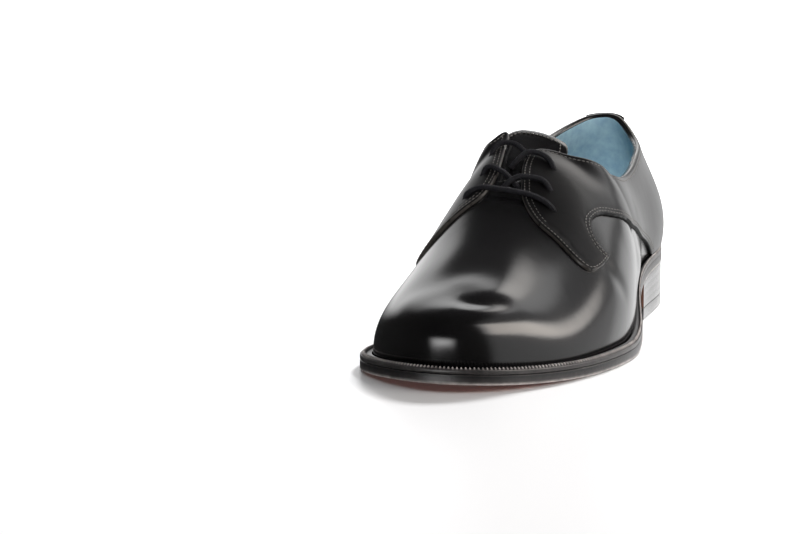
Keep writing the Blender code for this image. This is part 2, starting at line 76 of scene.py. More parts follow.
# Top of the last above collar and throat: share along, outer x, inner x, station, height.
TOP = np.array([
    (0, 0, 0, 8.5, 97.0), (0.07, 7.4, -8.5, 12.0, 96.0), (0.14, 15.2, -16.0, 24.0, 91.5),
    (0.22, 21.0, -20.5, 43.0, 86.5), (0.3, 23.0, -22.0, 65.0, 85.0),
    (0.38, 20.8, -22.0, 87.0, 88.5), (0.45, 13.0, -21.0, 106.0, 94.5),
    (0.51, 1.5, -19.5, 118.0, 98.0), (0.56, -11.5, -11.5, 128.0, 97.8),
    (0.62, -11.0, -11.0, 143.0, 91.6), (0.69, -8.3, -8.3, 166.0, 80.4),
    (0.77, -5.2, -5.2, 193.0, 66.0), (0.85, -3.4, -3.4, 218.5, 53.4),
    (0.92, -2.8, -2.8, 241.0, 44.4), (1.0, -3.2, -3.2, 259.0, 38.6)])

# Rib from feather line to top: share along, flare at the base, base pull, top pull, rise at the top.
RIB = np.array([
    (0, 15.0, 0.42, 0.36, 77.0), (0.12, 17.5, 0.42, 0.35, 83.0), (0.25, 11.8, 0.42, 0.35, 63.0),
    (0.38, 8.8, 0.42, 0.36, 55.0), (0.5, 6.0, 0.44, 0.37, 34.0), (0.6, 6.0, 0.44, 0.36, 10.0),
    (0.7, 6.0, 0.395, 0.28, 0), (0.8, 6.0, 0.38, 0.23, 0), (0.9, 8.0, 0.49, 0.47, 0),
    (1.0, 9.0, 0.56, 0.74, 0)])
CREST_FROM = 0.48
CREST_FULL = 0.57

# Collar: share along, share up the rib on the outer side, share up on the inner side.
COLLAR = np.array([
    (0.0, 0.917, 0.917), (0.05, 0.902, 0.912), (0.1, 0.868, 0.909), (0.15, 0.848, 0.914),
    (0.2, 0.85, 0.916), (0.25, 0.842, 0.904), (0.3, 0.798, 0.868), (0.36, 0.745, 0.812),
    (0.42, 0.696, 0.754), (0.46, 0.678, 0.728), (0.5, 0.673, 0.73), (0.53, 0.667, 0.748)])

# Top corner of the quarter, from collar to facing: share along and up, outer then inner side.
CORNER = np.array([
    (0.562, 0.723, 0.546, 0.8), (0.578, 0.785, 0.552, 0.868), (0.6, 0.85, 0.578, 0.918)])

# Facing and rounded tab, from the top corner down: share along and up, outer then inner side.
FACING = np.array([
    (0.624, 0.905, 0.622, 0.945), (0.646, 0.915, 0.646, 0.952), (0.672, 0.91, 0.672, 0.946),
    (0.697, 0.88, 0.692, 0.93), (0.716, 0.845, 0.707, 0.895), (0.729, 0.785, 0.718, 0.838),
    (0.736, 0.695, 0.718, 0.746), (0.731, 0.59, 0.716, 0.654), (0.724, 0.475, 0.716, 0.54),
    (0.714, 0.396, 0.712, 0.42), (0.704, 0.358, 0.703, 0.362), (0.691, 0.339, 0.691, 0.34),
    (0.674, 0.332, 0.674, 0.332), (0.657, 0.334, 0.657, 0.334), (0.642, 0.34, 0.642, 0.34)])
SLIT_LEAVES = 0.69
SLIT_END = np.array([(0.703, 0.95), (0.707, 1.0)])

# Back of the tab, hook above it and sweep down to the sole: share along, share up.
SWEEP = np.array([
    (0.642, 0.34), (0.655, 0.384), (0.658, 0.44), (0.65, 0.485), (0.634, 0.495), (0.612, 0.48),
    (0.582, 0.434), (0.548, 0.393), (0.499, 0.388), (0.419, 0.35), (0.324, 0.24), (0.273, 0.142),
    (0.24, 0.046)])
SEAT_EDGE = 0.046
BACK_SEAM = 0.0006

# Backstay up the heel: share up the rib, half width as a share along.
BACKSTAY = np.array([
    (0.046, 0.043), (0.2, 0.031), (0.4, 0.0225), (0.55, 0.022), (0.7, 0.028), (0.84, 0.046),
    (0.97, 0.092)])

# Tongue outline from the top edge round to its root: share along, share up.
TONGUE_EDGE = np.array([
    (0.558, 1.0), (0.546, 0.94), (0.54, 0.885), (0.535, 0.83), (0.545, 0.778), (0.59, 0.735),
    (0.65, 0.718), (0.71, 0.735), (0.744, 0.8), (0.754, 0.9), (0.757, 1.0)])


def spline(knots, values, closed=False):
    """Smooth curve through values at the knots, with natural ends or closed into a loop."""
    k = np.asarray(knots, float)
    n = len(k)
    y = np.asarray(values, float).reshape(n, -1)
    h = np.diff(k)
    d = np.diff(y, axis=0) / h[:, None]
    m = n - 1 if closed else n
    lhs = np.zeros((m, m))
    rhs = np.zeros((m, y.shape[1]))
    for i in range(m):
        if not closed and i in (0, n - 1):
            lhs[i, i] = 1.0
            continue
        lhs[i, i - 1] += h[i - 1]
        lhs[i, i] += 2 * (h[i - 1] + h[i])
        lhs[i, (i + 1) % m] += h[i]
        rhs[i] = 6 * (d[i] - d[i - 1])
    c = np.linalg.solve(lhs, rhs)
    if closed:
        c = np.concatenate([c, c[:1]])

    def at(t):
        t = np.asarray(t, float)
        if closed:
            t = k[0] + np.mod(t - k[0], k[-1] - k[0])
        i = np.clip(np.searchsorted(k, t, side="right") - 1, 0, n - 2)
        step = h[i][..., None]
        a = (k[i + 1] - t)[..., None]
        b = (t - k[i])[..., None]
        bend = (c[i] * a ** 3 + c[i + 1] * b ** 3) / (6 * step)
        line = (y[i] / step - c[i] * step / 6) * a + (y[i + 1] / step - c[i + 1] * step / 6) * b
        return (bend + line)[..., 0] if y.shape[1] == 1 else bend + line

    return at


def unit(v):
    return v / np.linalg.norm(v, axis=-1, keepdims=True)


def chords(line):
    """Distance run along a line, at each of its points."""
    return np.concatenate([[0.0], np.cumsum(np.linalg.norm(np.diff(line, axis=0), axis=1))])


def points_at(line, run, at):
    """Points of a line at distances along its run."""
    return np.stack([np.interp(at, run, row) for row in line.T], -1)


def mirrored(shares, outer, inner):
    """Closed curve over both sides: outer side for shares 0 to 1, inner side back from 1 to 2."""
    knots = np.concatenate([shares, 2 - shares[-2::-1]])
    return spline(knots, np.concatenate([outer, inner[-2::-1]]), closed=True)


def signed_share(s):
    """Share along from -1 to 1, inner side negative."""
    m = np.mod(s, 2)
    return np.where(m > 1, m - 2, m)


def side_share(s):
    """Share along without its side."""
    return np.abs(signed_share(s))


HEEL_BACK = [(0.0, 0.0)]
TOE_TIP = [(TOE_TIP_X, LAST_LENGTH)]
FEATHER_LOOP = np.concatenate([HEEL_BACK, FEATHER[:, [1, 0]], TOE_TIP, FEATHER[::-1, [2, 0]], HEEL_BACK])
FEATHER_RUN = chords(FEATHER_LOOP)
TIP_CHORD, LOOP_CHORD = FEATHER_RUN[[len(FEATHER) + 1, -1]]
FEATHER_AT = spline(FEATHER_RUN, FEATHER_LOOP, closed=True)
SOLE_AT = spline(SOLE_LINE[:, 0], SOLE_LINE[:, 1])
MARGIN_AT = spline(MARGIN[:, 0], MARGIN[:, 1])
TOP_AT = mirrored(TOP[:, 0], TOP[:, [1, 3, 4]], TOP[:, [2, 3, 4]])
RIB_AT = mirrored(RIB[:, 0], RIB[:, 1:], RIB[:, 1:])
# Step of share over which slopes are taken.
PROBE = 1e-3


def outline(s):
    """Feather line in plan: x and station at a share along."""
    s = signed_share(s)
    return FEATHER_AT(np.where(s >= 0, s * TIP_CHORD, LOOP_CHORD + s * (LOOP_CHORD - TIP_CHORD)))


def outward(s):
    """Plan direction out of the feather line."""
    d = outline(s + 2 * PROBE) - outline(s - 2 * PROBE)
    return unit(np.stack([d[..., 1], -d[..., 0]], -1))


def offset_outline(s, margin):
    return outline(s) + outward(s) * np.asarray(margin)[..., None]


def sole_margin(s):
    return MARGIN_AT(side_share(s))


def sole_bottom(station):
    return np.maximum(SOLE_AT(station), 0.0)


def sole_top(station):
    return sole_bottom(station) + OUTSOLE


def seat(station):
    """Height at which upper, welt and insole stand on the outsole."""
    return sole_top(station) + GAP


def last(s, v):
    """Point of the last at a share along the feather line and a share up the rib."""
    s, v = np.broadcast_arrays(np.asarray(s, float), np.asarray(v, float))
    m = np.mod(s, 2)
    plan = outline(s)
    base = np.concatenate([plan, seat(plan[..., 1])[..., None]], -1)
    top = TOP_AT(m)
    flare, base_pull, top_pull, rise = np.moveaxis(RIB_AT(m), -1, 0)
    flare = np.radians(flare)[..., None]
    up = np.concatenate([np.sin(flare) * outward(s), np.cos(flare)], -1)
    span = top - base
    inward = unit(span[..., :2])
    share = side_share(s)
    climb = TOP_AT(np.clip(share + PROBE, 0, 1)) - TOP_AT(np.clip(share - PROBE, 0, 1))
    slope = climb[..., 2] / climb[..., 1]
    crest = np.clip((share - CREST_FROM) / (CREST_FULL - CREST_FROM), 0, 1)
    crest = crest * crest * (3 - 2 * crest)
    angle = (1 - crest) * np.radians(rise) + crest * np.arctan(slope * inward[..., 1])
    angle = angle[..., None]
    over = np.concatenate([np.cos(angle) * inward, np.sin(angle)], -1)
    reach = np.linalg.norm(span, axis=-1)[..., None]
    low = base + up * base_pull[..., None] * reach
    high = top - over * top_pull[..., None] * reach
    v = v[..., None]
    w = 1 - v
    return w ** 3 * base + 3 * w * w * v * low + 3 * w * v * v * high + v ** 3 * top


def tangents(s, v, step=PROBE):
    """Run of the last along and up, each for a whole share."""
    low = np.clip(v - step, 0, 1)
    high = np.clip(v + step, 0, 1)
    along = (last(s + step, v) - last(s - step, v)) / (2 * step)
    return along, (last(s, high) - last(s, low)) / (high - low)[..., None]


def last_normal(s, v):
    """Outward direction of the last."""
    return unit(np.cross(*tangents(s, v, 2 * PROBE)))


# Plan of the upper: share along and share up, stretched to near millimetres.
PLAN = np.array([405.0, 86.0])
# Spacing of points along an edge, and along the free edges of a quarter.
EDGE_STEP = 1.2
FREE_EDGE_STEP = 1.1


def resample(points, step):
    """Even points along a smooth line through the given ones."""
    flat = np.asarray(points) * PLAN
    run = chords(flat)
    fine = spline(run, flat)(np.linspace(0, run[-1], 1500))
    run = chords(fine)
    at = np.linspace(0, run[-1], max(2, int(round(run[-1] / step)) + 1))
    return points_at(fine, run, at) / PLAN


def straight(along, up):
    """Plan points with one share held and the other running."""
    return np.stack(np.broadcast_arrays(along, up), -1)


def of_side(rows, side):
    """The outer or inner pair of columns of a table."""
    return rows[:, :2] if side > 0 else rows[:, 2:]


def collar_line(side, step=EDGE_STEP):
    """Collar from the heel to the top corner of the quarter."""
    rim = COLLAR[:, [0, 1 if side > 0 else 2]]
    return resample(np.concatenate([rim, of_side(CORNER, side), of_side(FACING, side)[:1]]), step)


def on_side(line, side):
    return line * np.array([side, 1.0])


def both_sides(line_of):
    """An edge of the upper on each of its sides."""
    return [on_side(line_of(side), side) for side in SIDES]


def slit_line(side):
    """Edge of the throat in the upper: down the facing, then over to the crest."""
    facing = resample(of_side(FACING, side), EDGE_STEP)
    kept = facing[: np.argmax(facing[:, 0] > SLIT_LEAVES)]
    return np.concatenate([kept, resample(np.concatenate([kept[-1:], SLIT_END]), EDGE_STEP)[1:]])


def quarter_edges(side):
    """The three free edges of a quarter, in order from the sole: sweep, facing, collar."""
    sweep = on_side(resample(SWEEP, FREE_EDGE_STEP)[::-1], side)
    facing = on_side(resample(of_side(FACING, side), FREE_EDGE_STEP)[::-1], side)
    collar = on_side(collar_line(side)[::-1], side)
    collar[-1, 0] = side * BACK_SEAM
    return sweep, facing, collar


def quarter_line(side):
    """Closed outline of a quarter, from the back seam along the sole."""
    hem = straight(np.linspace(BACK_SEAM, SWEEP[-1, 0], 80), SEAT_EDGE)
    sweep, facing, collar = quarter_edges(side)
    back = straight(side * BACK_SEAM, np.linspace(collar[-1, 1], SEAT_EDGE, 50))
    edges = (on_side(hem, side), sweep, facing, collar, back)
    return np.concatenate([edge[:-1] for edge in edges])


def upper_line():
    """Closed outline of the upper over both sides."""
    hem = straight(np.linspace(-1, 1, 560), 0.0)
    toe = straight(1.0, np.linspace(0, 1, 56))
    ridge = straight(np.linspace(1, SLIT_END[-1, 0], 70), 1.0)
    outer, inner = (
        np.concatenate([toe[1:], ridge[1:], slit_line(side)[-2::-1], collar_line(side)[-2::-1]])
        for side in SIDES)
    return np.concatenate([hem, outer, on_side(inner, -1)[-2::-1]])[:-1]


# Share up by which the backstay stays under the collar.
BACKSTAY_DROP = 0.003


def backstay_edge(side, step=EDGE_STEP):
    return on_side(resample(BACKSTAY[:, ::-1], step), side)


def backstay_line():
    """Closed outline of the backstay, cut off just under the collar."""
    edges = []
    rims = []
    for side in SIDES:
        rim = collar_line(side, EDGE_STEP / 2)
        edge = backstay_edge(side, 0.8)
        top = np.interp(np.abs(edge[:, 0]), rim[:, 0], rim[:, 1]) - BACKSTAY_DROP
        edge = edge[edge[:, 1] < top - 0.004]
        over = rim[rim[:, 0] < abs(edge[-1, 0]) - 0.001] - np.array([0.0, BACKSTAY_DROP])
        edges.append(edge)
        rims.append(on_side(over, side))
    hem = straight(np.linspace(edges[1][0, 0], edges[0][0, 0], 40), BACKSTAY[0, 0])
    return np.concatenate([edges[0], rims[0][::-1], rims[1][1:], edges[1][::-1], hem[1:-1]])


def tongue_line(side):
    edge = resample(TONGUE_EDGE, EDGE_STEP)
    edge[[0, -1], 1] = 1.0
    return on_side(edge, side)


def tongue_half(side):
    """Closed outline of one half of the tongue."""
    edge = tongue_line(1)
    ridge = straight(np.linspace(edge[-1, 0], edge[0, 0], 90), 1.0)
    return on_side(np.concatenate([edge, ridge[1:-1]]), side)


def nearest(points, others):
    """Distance from each point to the nearest of others."""
    found = kdtree.KDTree(len(others))
    for i, p in enumerate(others):
        found.insert(Vector((*p, 0.0)[:3]), i)
    found.balance()
    return np.array([found.find(Vector((*p, 0.0)[:3]))[2] for p in points])


def inside(points, loop):
    """Which points lie within a closed outline."""
    x, y = points[:, 0], points[:, 1]
    hit = np.zeros(len(points), bool)
    for (xa, ya), (xb, yb) in zip(loop, np.roll(loop, -1, axis=0)):
        if ya == yb:
            continue
        cross = (xb - xa) * (y - ya) / (yb - ya) + xa
        hit ^= ((ya > y) != (yb > y)) & (x < cross)
    return hit


def edge_rows(loop, insets):
    """Rows of points inside a closed flat outline, at distances from it."""
    d = unit(np.roll(loop, -1, axis=0) - np.roll(loop, 1, axis=0))
    n = np.stack([-d[:, 1], d[:, 0]], -1)
    x, y = loop.T
    if np.sum(x * np.roll(y, -1) - y * np.roll(x, -1)) < 0:
        n = -n
    return [loop + n * inset for inset in insets]


def filled(rings, extra, near):
    """Flat points and triangles inside the first of some closed rings and outside the others."""
    edges = []
    first = 0
    for ring in rings:
        count = len(ring)
        edges += [(first + i, first + (i + 1) % count) for i in range(count)]
        first += count
    points = [Vector(p) for p in np.concatenate([*rings, extra])]
    out = delaunay_2d_cdt(points, edges, [], 0, near)
    flat = np.array([tuple(p) for p in out[0]])
    tris = np.array([f for f in out[2] if len(f) == 3])
    middle = flat[tris].mean(axis=1)
    keep = inside(middle, rings[0])
    for ring in rings[1:]:
        keep &= ~inside(middle, ring)
    return flat, tris[keep]


def grid_over(loop, cell, row):
    """Grid of points over a flat outline."""
    spans = zip(loop.min(axis=0), loop.max(axis=0), (cell, row))
    x, y = (np.arange(low + cell / 2, high, step) for low, high, step in spans)
    return np.stack(np.meshgrid(x, y, indexing="ij"), -1)


# Distance of rows in a grid of even triangles, as a share of its cell.
ROW_SHARE = 0.866
HOLE_CLEARANCE = 0.5


def fine_plan(edge, cell, insets, holes=()):
    """Points and triangles of a closed plan outline, finer along its edges."""
    loop = edge * PLAN
    grid = grid_over(loop, cell, cell * ROW_SHARE)
    grid[:, ::2, 0] += cell / 2
    grid = grid.reshape(-1, 2)
    reach = max(insets) + 0.55 * cell
    extra = [grid[(nearest(grid, loop) > reach) & inside(grid, loop)]]
    for row, inset in zip(edge_rows(loop, insets), insets):
        extra.append(row[(nearest(row, loop) > 0.8 * inset) & inside(row, loop)])
    clear = np.concatenate(extra)
    rings = [ring * PLAN for ring in holes]
    for ring in rings:
        middle = ring.mean(axis=0)
        size = np.linalg.norm(ring - middle, axis=1).max()
        clear = clear[np.linalg.norm(clear - middle, axis=1) > size + HOLE_CLEARANCE]
    flat, tris = filled([loop, *rings], clear, 1e-4)
    return flat / PLAN, tris


def tidy(plan):
    """Plan points snapped onto the crest and the toe line."""
    s = np.clip(plan[:, 0], -1, 1)
    v = np.clip(plan[:, 1], 0, 1)
    s = np.where(np.abs(s) > 1 - 1e-6, np.sign(s), s)
    return s, np.where(v > 1 - 1e-6, 1.0, v)


def fold(place, rows, depth, width):
    """Soft trough (or ridge, for a negative depth) along a line, dying out past its ends."""
    marks = last(*np.array(rows).T)
    run = chords(marks)
    line = spline(run, marks)(np.linspace(0, run[-1], 60))
    step = np.linalg.norm(np.diff(line, axis=0), axis=1).mean()
    gap = np.sum((place[:, None, :] - line[None]) ** 2, axis=2)
    return -depth * np.exp(-gap / width ** 2).sum(axis=1) * step / (width * np.sqrt(np.pi))


# Worn shape of vamp, quarter and waist: points along and up, depth, half width.
FOLDS = (
    (((-0.903, 0.356), (-0.905, 0.552), (-0.929, 0.747), (-0.931, 0.949), (0.927, 0.855), (0.91, 0.644),
      (0.906, 0.499)), -0.43, 7.9),
    (((-0.87, 0.415), (-0.944, 0.469), (-0.976, 0.648), (0.992, 0.587), (0.957, 0.575), (0.926, 0.457),
      (0.899, 0.371), (0.866, 0.349)), -0.81, 12.6),
    (((0.978, 0.88), (0.951, 0.731), (0.924, 0.608), (0.9, 0.528)), 1.38, 5.3),
    (((-0.831, 0.577), (-0.922, 0.693), (-0.908, 0.907), (0.89, 0.914)), 0.7, 16.0),
    (((0.655, 0.31), (0.641, 0.257), (0.627, 0.214), (0.615, 0.175)), 0.7, 4.5),
    (((0.586, 0.807), (0.573, 0.743), (0.564, 0.675), (0.56, 0.6), (0.556, 0.536)), 2.2, 7.5),
    (((0.455, 0.68), (0.455, 0.56), (0.455, 0.44), (0.45, 0.32)), -2.2, 20.0),
    (((0.53, 0.6), (0.532, 0.53), (0.534, 0.46)), 1.5, 9.0),
    (((0.36, 0.2), (0.4, 0.2), (0.44, 0.2), (0.48, 0.2)), -1.6, 9.0),
)


def skin(s, v):
    """Surface of the upper: points of the last, its direction, and the lift of its worn shape."""
    place = last(s, v)
    return place, last_normal(s, v), sum(fold(place, *row) for row in FOLDS)


def welded(s, v):
    """One index for points that meet on the crest and the toe line."""
    meets = {}
    index = np.arange(len(s))
    for i in np.nonzero((np.abs(s) == 1) | (v == 1))[0]:
        index[i] = meets.setdefault((round(abs(s[i]), 4), round(v[i], 4)), i)
    return index


def rounded(distance, radius):
    """Height share of an edge that rounds off over a radius."""
    t = 1 - np.clip(distance / radius, 0, 1)
    return np.sqrt(np.clip(1 - t * t, 0, 1))


def to_frame(p):
    return np.stack([p[:, 0] - ORIGIN[0], ORIGIN[1] - p[:, 1], p[:, 2]], -1) * MM


def add_object(name, data):
    obj = bpy.data.objects.new(name, data)
    bpy.context.scene.collection.objects.link(obj)
    return obj


WELD = 1e-7


def add_piece(name, points, faces, looks, nodes=(), look_of=None, smooth=45.0, wear=None):
    """Piece that rides on the shoe, and the solids it is shown in place of."""
    mesh = bpy.data.meshes.new(name)
    mesh.from_pydata(to_frame(points).tolist(), [], [tuple(map(int, f)) for f in faces])
    for finish in looks:
        mesh.materials.append(finish)
    if look_of is not None:
        mesh.polygons.foreach_set("material_index", np.asarray(look_of, np.int32))
    if wear is not None:
        marks = mesh.attributes.new("wear", "FLOAT", "POINT")
        marks.data.foreach_set("value", np.asarray(wear, np.float32))
    bm = bmesh.new()
    bm.from_mesh(mesh)
    bmesh.ops.remove_doubles(bm, verts=bm.verts[:], dist=WELD)
    bmesh.ops.recalc_face_normals(bm, faces=bm.faces[:])
    bm.to_mesh(mesh)
    bm.free()
    mesh.polygons.foreach_set("use_smooth", np.ones(len(mesh.polygons), bool))
    mesh.set_sharp_from_angle(angle=np.radians(smooth))
    obj = add_object(name, mesh)
    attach(obj, "root")
    if nodes:
        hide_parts(*nodes)


def sheet(plan, tris, low, high):
    """Closed skin between two heights over the worn surface: points, faces, sides, plan points used.

    A face is on side 0 within, 1 outside and 2 round the rim.
    """
    s, v = tidy(plan)
    place, facing, lift = skin(s, v)
    index = welded(s, v)
    total = np.zeros_like(facing)
    np.add.at(total, index, facing)
    facing = unit(total[index])
    tris = index[tris]
    tris = tris[np.all(tris != np.roll(tris, -1, axis=1), axis=1)]
    used, flat = np.unique(tris, return_inverse=True)
    tris = flat.reshape(-1, 3)
    count = len(used)
    layers = []
    for level in (low, high):
        height = np.broadcast_to(level, len(plan))[used] + lift[used]
        layers.append(place[used] + facing[used] * height[:, None])
    half = np.concatenate([tris, tris[:, [1, 2, 0]], tris[:, [2, 0, 1]]])[:, :2]
    key = set(map(tuple, half.tolist()))
    rim = [(a, b) for a, b in key if (b, a) not in key]
    faces = tris.tolist() + (tris[:, ::-1] + count).tolist()
    faces += [(b, a, a + count, b + count) for a, b in rim]
    side = np.repeat((0, 1, 2), (len(tris), len(tris), len(rim)))
    return np.concatenate(layers), faces, side, used


def edge_distance(plan, lines):
    """Distance over the last from plan points to the nearest edge."""
    edge = np.concatenate([resample(line, 0.35) for line in lines])
    return nearest(last(*tidy(plan)), last(*tidy(edge)))


def shifted(line, distance):
    """Line moved sideways over the surface, to the left of its run for a positive distance."""
    s, v = line.T
    ahead = unit(np.gradient(last(s, v), axis=0))
    side = np.cross(last_normal(s, v), ahead) * distance
    moves = []
    for along, rib, way in zip(*tangents(s, v), side):
        moves.append(np.linalg.lstsq(np.stack([along, rib], -1), way, rcond=None)[0])
    return line + np.array(moves)


def joined(groups):
    """Several meshes as one list of points and faces."""
    points = []
    faces = []
    for p, f in groups:
        first = len(points)
        points += list(p)
        faces += [tuple(first + i for i in face) for face in f]
    return np.array(points), faces


def bands(rings, count, closed=False):
    """Four-sided faces between neighbours of some rings of points."""
    faces = []
    for i in range(rings if closed else rings - 1):
        low, high = i * count, (i + 1) % rings * count
        for j in range(count):
            k = (j + 1) % count
            faces.append((low + j, low + k, high + k, high + j))
    return faces


def tube_faces(rings, sides):
    """Faces of a tube through rings of points, closed at both ends."""
    ends = [tuple(range(sides))[::-1], tuple(range((rings - 1) * sides, rings * sides))]
    return bands(rings, sides) + ends


# Rings of a stitch: share along it, share of its thickness.
STITCH = ((-0.5, 0.25), (-0.3, 0.85), (0.0, 1.0), (0.3, 0.85), (0.5, 0.25))
STITCH_SIDES = 6
STITCH_PITCH = 2.1
STITCH_LENGTH = 1.55
STITCH_PROBE = 0.4


def stitches(line, height, thick):
    """Row of thread stitches along a line over the upper."""
    place, facing, lift = skin(*tidy(line))
    place = place + facing * (lift + height)[:, None]
    run = chords(place)
    count = max(2, int(run[-1] / STITCH_PITCH))
    at = (np.arange(count) + 0.5) * run[-1] / count
    ahead = unit(points_at(place, run, at + STITCH_PROBE) - points_at(place, run, at - STITCH_PROBE))
    up = unit(points_at(facing, run, at))
    turn = np.linspace(0, 2 * np.pi, STITCH_SIDES, endpoint=False)
    faces = tube_faces(len(STITCH), STITCH_SIDES)
    groups = []
    for p, a, b, n in zip(points_at(place, run, at), ahead, np.cross(up, ahead), up):
        points = []
        for share, size in STITCH:
            middle = p + a * share * STITCH_LENGTH
            points += [middle + (b * np.cos(w) + n * np.sin(w)) * thick * size for w in turn]
        groups.append((points, faces))
    return joined(groups)


def add_stitches(name, lines, height, thick=0.26):
    points, faces = joined([stitches(line, height, thick) for line in lines])
    add_piece(name + "_stitches", points, faces, (THREAD,))


def node(tree, kind, inputs=None, **settings):
    """New shader node with its settings and inputs, each a value or a socket to link from."""
    made = tree.nodes.new(kind)
    for key, value in settings.items():
        setattr(made, key, value)
    for key, value in (inputs or {}).items():
        if isinstance(value, bpy.types.NodeSocket):
            tree.links.new(value, made.inputs[key])
        else:
            made.inputs[key].default_value = value
    return made


def mix(tree, factor, a, b, kind="RGBA"):
    inputs = {"Factor": factor, "A": a, "B": b}
    return node(tree, "ShaderNodeMix", inputs, data_type=kind).outputs["Result"]


def math(tree, operation, a, b):
    return node(tree, "ShaderNodeMath", {0: a, 1: b}, operation=operation).outputs[0]


WEAR_SCALE = 220.0
UNEVEN_SCALE = 110.0


def look(name, dark, light, rough, mottle=40.0, grain=900.0, bump=0.1, depth=0.0002, wear=None,
         uneven=0.0, **sockets):
    """Procedural finish: mottled colour, uneven roughness, grain, and a pale wear colour where the piece
    marks it, which on the sole edge and welt is partly a painted highlight.
    """
    mat = bpy.data.materials.new(name)
    mat.use_nodes = True
    tree = mat.node_tree
    shader = tree.nodes["Principled BSDF"]
    for key, value in sockets.items():
        shader.inputs[key.replace("_", " ")].default_value = value
    place = node(tree, "ShaderNodeTexCoord").outputs["Object"]

    def noise(scale, detail):
        inputs = {"Vector": place, "Scale": scale, "Detail": detail}
        return node(tree, "ShaderNodeTexNoise", inputs).outputs["Fac"]

    cloud = noise(mottle, 4.0)
    colour = mix(tree, cloud, (*dark, 1.0), (*light, 1.0))
    if wear is not None:
        mark = node(tree, "ShaderNodeAttribute", attribute_name="wear").outputs["Fac"]
        broken = math(tree, "MULTIPLY", mark, noise(WEAR_SCALE, 3.0))
        colour = mix(tree, broken, colour, (*wear, 1.0))
    span = node(tree, "ShaderNodeMapRange", {"Value": cloud, "To Min": rough[0], "To Max": rough[1]})
    pores = node(tree, "ShaderNodeTexVoronoi", {"Vector": place, "Scale": grain}).outputs["Distance"]
    height = math(tree, "ADD", pores, noise(grain * 0.4, 5.0))
    relief = node(tree, "ShaderNodeBump", {"Strength": bump, "Distance": depth, "Height": height})
    if uneven:
        inputs = {"Strength": uneven, "Distance": MM, "Height": noise(UNEVEN_SCALE, 2.0)}
        broad = node(tree, "ShaderNodeBump", inputs)
        tree.links.new(broad.outputs["Normal"], relief.inputs["Normal"])
    tree.links.new(colour, shader.inputs["Base Color"])
    tree.links.new(span.outputs["Result"], shader.inputs["Roughness"])
    tree.links.new(relief.outputs["Normal"], shader.inputs["Normal"])
    return mat


BLACK = ((0.004, 0.004, 0.0045), (0.0075, 0.007, 0.0075))
CALF = look("calf", *BLACK, (0.15, 0.24), bump=0.06, depth=0.00012, uneven=0.05, Coat_Weight=0.35,
            Coat_Roughness=0.08)
CALF_SOFT = look("calf_soft", *BLACK, (0.25, 0.35), bump=0.06, depth=0.00012, uneven=0.06,
                 Specular_IOR_Level=0.24, Coat_Weight=0.1, Coat_Roughness=0.1)
# Paler cut edge of the facing and collar: its own tone together with a painted highlight.
EDGE_TONE_AND_HIGHLIGHT = look("rim", (0.02, 0.018, 0.016), (0.07, 0.064, 0.058), (0.22, 0.38), mottle=300.0, bump=0.15,
           Coat_Weight=0.4, Coat_Roughness=0.15)
# Pale grey thread: partly its own tone, partly a painted highlight on the raised stitches.
THREAD = look("thread", (0.1, 0.096, 0.09), (0.21, 0.2, 0.19), (0.4, 0.55), mottle=600.0, bump=0.3)
LINING = look("lining", (0.24, 0.46, 0.65), (0.66, 0.93, 1.0), (0.75, 0.9), mottle=260.0,
              grain=1500.0, bump=0.3)
VAMP_LINING = look("vamp_lining", (0.06, 0.02, 0.014), (0.11, 0.038, 0.026), (0.7, 0.85),
                   grain=1500.0, bump=0.3)
SOCK = look("sock", (0.07, 0.024, 0.017), (0.12, 0.044, 0.03), (0.5, 0.65), grain=700.0, bump=0.2)
CUT = look("cut", (0.003, 0.003, 0.003), (0.006, 0.006, 0.006), (0.5, 0.65), mottle=300.0, bump=0.2,
           Specular_IOR_Level=0.2)
# Its pale wear colour is rub wear, and also a painted highlight along the sole's bottom edge and on the
# welt's lip and bead tops.
EDGE = look("edge", (0.006, 0.006, 0.007), (0.02, 0.019, 0.02), (0.24, 0.42), mottle=420.0,
            grain=1200.0, bump=0.3, wear=(0.8, 0.74, 0.72))
STACK = look("stack", (0.01, 0.01, 0.01), (0.028, 0.027, 0.028), (0.2, 0.3), mottle=420.0,
             grain=1200.0, bump=0.2, wear=(0.5, 0.47, 0.45), Coat_Weight=0.6, Coat_Roughness=0.15)
SOLE = look("sole", (0.52, 0.16, 0.11), (0.62, 0.21, 0.15), (0.45, 0.65), mottle=35.0, grain=500.0,
            bump=0.15)
BREAST = look("breast", (0.085, 0.034, 0.018), (0.16, 0.07, 0.038), (0.5, 0.65), mottle=180.0,
              grain=800.0, bump=0.25)
RUBBER = look("rubber", (0.01, 0.01, 0.01), (0.02, 0.02, 0.02), (0.6, 0.8), mottle=120.0, bump=0.25,
              wear=(0.1, 0.1, 0.1))
LACE = look("lace", (0.003, 0.003, 0.004), (0.026, 0.026, 0.031), (0.65, 0.8), mottle=1100.0,
            grain=2400.0, bump=0.8, depth=0.0005, Specular_IOR_Level=0.3)

# Lace holes: share along (inner side negative), share up.
EYELETS = (
    (-0.686, 0.718), (-0.662, 0.822), (-0.611, 0.838), (0.695, 0.656), (0.671, 0.726), (0.628, 0.761))
EYELET_RADIUS = 1.45


def hole(s, v):
    """Punched round hole as a small loop in plan."""
    wide, tall = (np.linalg.norm(run) for run in tangents(s, v))
    w = np.linspace(0, 2 * np.pi, 20, endpoint=False)
    return np.stack([s + EYELET_RADIUS * np.cos(w) / wide, v + EYELET_RADIUS * np.sin(w) / tall], -1)


def inset_line(line, distance, loop):
    """Row inside an outline at a distance from one of its edges, without loops in tight bends."""
    for sign in SIDES:
        row = shifted(line, sign * distance)
        hits = inside(row, loop)
        if hits.mean() > 0.5:
            break
    return row[hits & (nearest(last(*tidy(row)), last(*tidy(line))) > 0.85 * distance)]


# Upper: cell of its plan, how far its rim thins inside and outside, width of the calf turned in there, and
# share along where the vamp's lining starts.
UPPER_CELL = 1.9
THIN_INSIDE = 0.9
THIN_OUTSIDE = 0.35
TURNED_IN = 1.75
VAMP_LINING_FROM = 0.64


